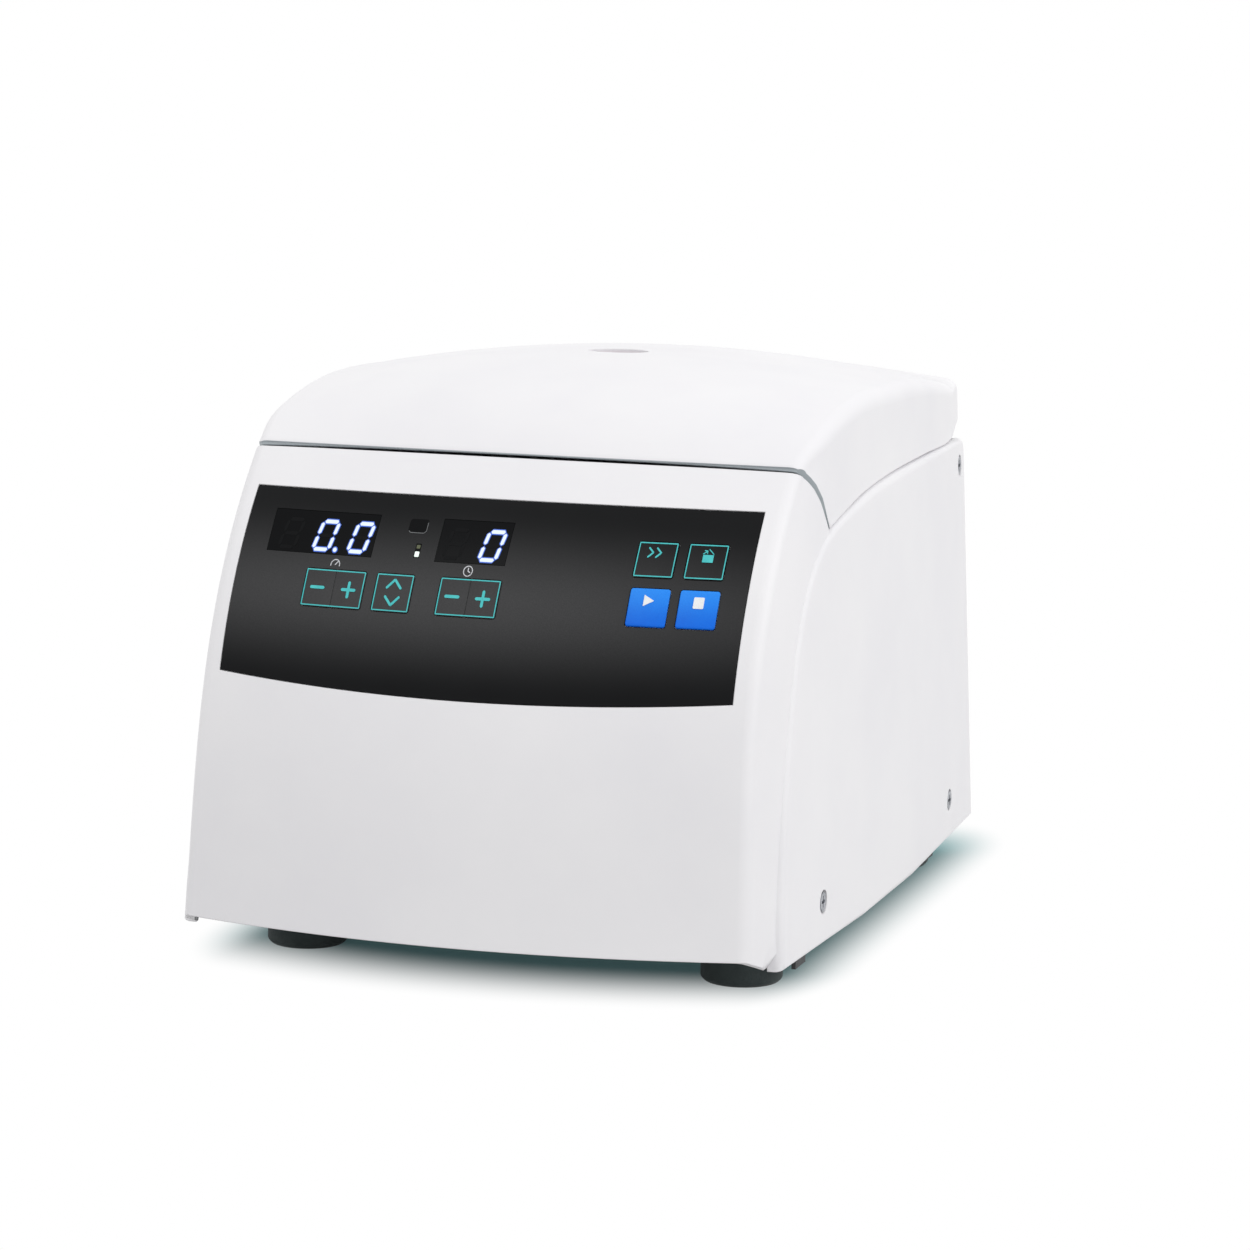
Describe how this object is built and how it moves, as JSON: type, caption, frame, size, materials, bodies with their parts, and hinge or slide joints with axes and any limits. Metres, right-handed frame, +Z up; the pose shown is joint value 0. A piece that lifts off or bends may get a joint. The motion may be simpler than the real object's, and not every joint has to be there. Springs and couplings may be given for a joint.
{
  "type": "hematocrit centrifuge",
  "caption": "Compact bench centrifuge with a crowned hinged lid and sight window, capillary rotor under a screwed cover, sloped key panel, lid lock, rear mains inlet and rubber feet.",
  "frame": {"origin": "on the table under the middle of the body", "axes": "+Z up, the front with its control panel faces -Y, +X is the right side seen from the front"},
  "size_m": [0.2422, 0.352, 0.2233],
  "materials": {
    "white_shell": "fine grained",
    "foil_black": "satin film",
    "lens_black": "gloss",
    "key_black": "satin film",
    "key_blue": "satin film",
    "rubber_dark": "matt",
    "steel": "brushed",
    "alloy": "turned",
    "liner_grey": "painted, matt",
    "grey_paint": "powder coated",
    "black_paint": "powder coated",
    "motor_iron": "painted",
    "board_green": "lacquered",
    "clear_window": "clear",
    "dark_plastic": "satin"
  },
  "bodies": {
    "casing": {"housing": "white_shell", "deck": "white_shell", "chamber_bowl": "steel", "chamber_seal": "rubber_dark", "shaft_seal": "rubber_dark", "left_hinge_bracket": "steel", "left_hinge_pin": "steel", "right_hinge_bracket": "steel", "right_hinge_pin": "steel", "motor": "motor_iron", "motor_plate": "steel", "front_motor_mount": "rubber_dark", "right_motor_mount": "rubber_dark", "left_motor_mount": "rubber_dark", "lock_housing": "dark_plastic", "lock_solenoid": "grey_paint", "control_foil": "foil_black", "speed_display_window": "lens_black", "speed_display": "dark_plastic", "time_display_window": "lens_black", "time_display": "dark_plastic", "unit_lights": "clear_window", "control_board": "board_green", "left_front_screw": "steel", "left_rear_screw": "steel", "left_top_screw": "steel", "right_front_screw": "steel", "right_rear_screw": "steel", "right_top_screw": "steel", "base_pan": "black_paint", "front_left_foot": "rubber_dark", "rear_left_foot": "rubber_dark", "front_right_foot": "rubber_dark", "rear_right_foot": "rubber_dark", "power_board": "board_green", "rear_panel": "grey_paint", "power_inlet": "dark_plastic"},
    "lid_group": {"lid": "white_shell", "lid_liner": "liner_grey", "sight_window": "clear_window", "lid_striker": "steel", "left_lid_arm": "steel", "right_lid_arm": "steel"},
    "rotor_group": {"spindle": "steel", "rotor": "alloy", "rotor_gasket": "rubber_dark", "rotor_cover": "alloy"},
    "knob": {"cover_knob": "dark_plastic"},
    "bolt": {"lock_bolt": "steel"},
    "speed_down": {"speed_down_key": "key_black"},
    "speed_up": {"speed_up_key": "key_black"},
    "unit": {"unit_key": "key_black"},
    "time_down": {"time_down_key": "key_black"},
    "time_up": {"time_up_key": "key_black"},
    "pulse": {"pulse_key": "key_black"},
    "open": {"open_key": "key_black"},
    "start": {"start_key": "key_blue"},
    "stop": {"stop_key": "key_blue"},
    "drawer": {"fuse_drawer": "dark_plastic"},
    "rocker": {"power_rocker": "lens_black"}
  },
  "joints": [
    {"name": "lid_hinge", "type": "hinge", "parent": "casing", "child": "lid_group", "pos_m": [0, 0.1605, 0.19], "axis": [-1, 0, 0], "range_deg": [0, 70]},
    {"name": "rotor_spin", "type": "hinge", "parent": "casing", "child": "rotor_group", "pos_m": [0, 0.02, 0.1], "axis": [0, 0, 1], "continuous": true},
    {"name": "knob_turn", "type": "hinge", "parent": "rotor_group", "child": "knob", "pos_m": [0, 0.02, 0.15], "axis": [0, 0, 1], "continuous": true},
    {"name": "bolt_slide", "type": "slide", "parent": "casing", "child": "bolt", "axis": [-1, 0, 0], "range_m": [0, 0.008]},
    {"name": "speed_down_press", "type": "slide", "parent": "casing", "child": "speed_down", "axis": [0.0817, 0.8598, -0.504], "range_m": [0, 0.0004], "stiffness_N_per_m": 500},
    {"name": "speed_up_press", "type": "slide", "parent": "casing", "child": "speed_up", "axis": [0.0659, 0.8578, -0.5098], "range_m": [0, 0.0004], "stiffness_N_per_m": 500},
    {"name": "unit_press", "type": "slide", "parent": "casing", "child": "unit", "axis": [0.0432, 0.8555, -0.516], "range_m": [0, 0.0004], "stiffness_N_per_m": 500},
    {"name": "time_down_press", "type": "slide", "parent": "casing", "child": "time_down", "axis": [0.0132, 0.8539, -0.5203], "range_m": [0, 0.0004], "stiffness_N_per_m": 500},
    {"name": "time_up_press", "type": "slide", "parent": "casing", "child": "time_up", "axis": [-0.0017, 0.8537, -0.5208], "range_m": [0, 0.0004], "stiffness_N_per_m": 500},
    {"name": "pulse_press", "type": "slide", "parent": "casing", "child": "pulse", "axis": [-0.065, 0.8, -0.5965], "range_m": [0, 0.0004], "stiffness_N_per_m": 500},
    {"name": "open_press", "type": "slide", "parent": "casing", "child": "open", "axis": [-0.0847, 0.8048, -0.5874], "range_m": [0, 0.0004], "stiffness_N_per_m": 500},
    {"name": "start_press", "type": "slide", "parent": "casing", "child": "start", "axis": [-0.0807, 0.8597, -0.5043], "range_m": [0, 0.0004], "stiffness_N_per_m": 500},
    {"name": "stop_press", "type": "slide", "parent": "casing", "child": "stop", "axis": [-0.1043, 0.8635, -0.4934], "range_m": [0, 0.0004], "stiffness_N_per_m": 500},
    {"name": "drawer_slide", "type": "slide", "parent": "casing", "child": "drawer", "axis": [0, 1, 0], "range_m": [0, 0.014]},
    {"name": "rocker_tilt", "type": "hinge", "parent": "casing", "child": "rocker", "pos_m": [-0.02, 0.1716, 0.062], "axis": [-1, 0, 0], "range_deg": [0, 16]}
  ]
}
